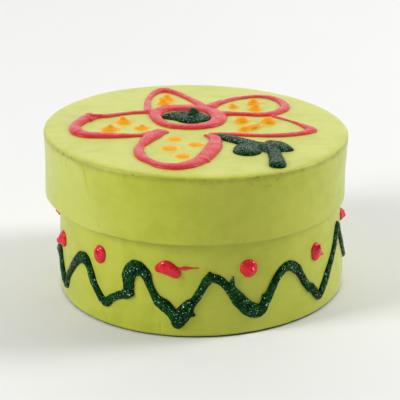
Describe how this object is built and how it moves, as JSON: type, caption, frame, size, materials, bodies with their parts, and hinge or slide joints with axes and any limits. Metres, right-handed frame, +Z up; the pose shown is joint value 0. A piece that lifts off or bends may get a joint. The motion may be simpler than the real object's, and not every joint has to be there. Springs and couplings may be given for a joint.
{
  "type": "round craft box",
  "caption": "Round paper-covered board box with a lift-off lid, painted lime green, with a raised flower on the lid and a zigzag line and dots round the side.",
  "frame": {"origin": "centre of the base's underside, on the axis of the base", "axes": "+Z up along the base's axis and the way the lid lifts; -Y is the front, where the front petal and the leaf's stem point; +X to the right of the front"},
  "size_m": [0.09, 0.09, 0.0511],
  "materials": {
    "grey_board": "raw grey-brown board, matte",
    "kraft_lining": "plain kraft paper, matte",
    "painted_paper": "paper brushed with matte lime green acrylic paint",
    "red_relief_paint": "dried relief paint, glossy red",
    "orange_relief_paint": "dried relief paint, glossy orange",
    "green_glitter_paint": "dried dark green relief paint full of fine glitter, glossy"
  },
  "bodies": {
    "base": {"base_wall": "grey_board", "base_floor": "grey_board", "base_side_paper": "painted_paper", "base_bottom_paper": "painted_paper", "base_wall_lining": "kraft_lining", "base_floor_lining": "kraft_lining", "zigzag_line": "green_glitter_paint", "side_dots": "red_relief_paint"},
    "lid": {"lid_rim": "grey_board", "lid_top": "grey_board", "lid_side_paper": "painted_paper", "lid_top_paper": "painted_paper", "lid_rim_lining": "kraft_lining", "lid_top_lining": "kraft_lining", "flower_ring": "red_relief_paint", "flower_centre": "green_glitter_paint", "petal_back_left": "red_relief_paint", "petal_back_right": "red_relief_paint", "petal_right": "red_relief_paint", "petal_front": "red_relief_paint", "petal_left": "red_relief_paint", "petal_dots_back_left": "orange_relief_paint", "petal_dots_back_right": "orange_relief_paint", "petal_dots_right": "orange_relief_paint", "petal_dots_front": "orange_relief_paint", "petal_dots_left": "orange_relief_paint", "stem_and_leaf": "green_glitter_paint"}
  },
  "joints": [
    {"name": "lid_lift", "type": "slide", "parent": "base", "child": "lid", "axis": [0, 0, 1], "range_m": [0, 0.06]}
  ]
}
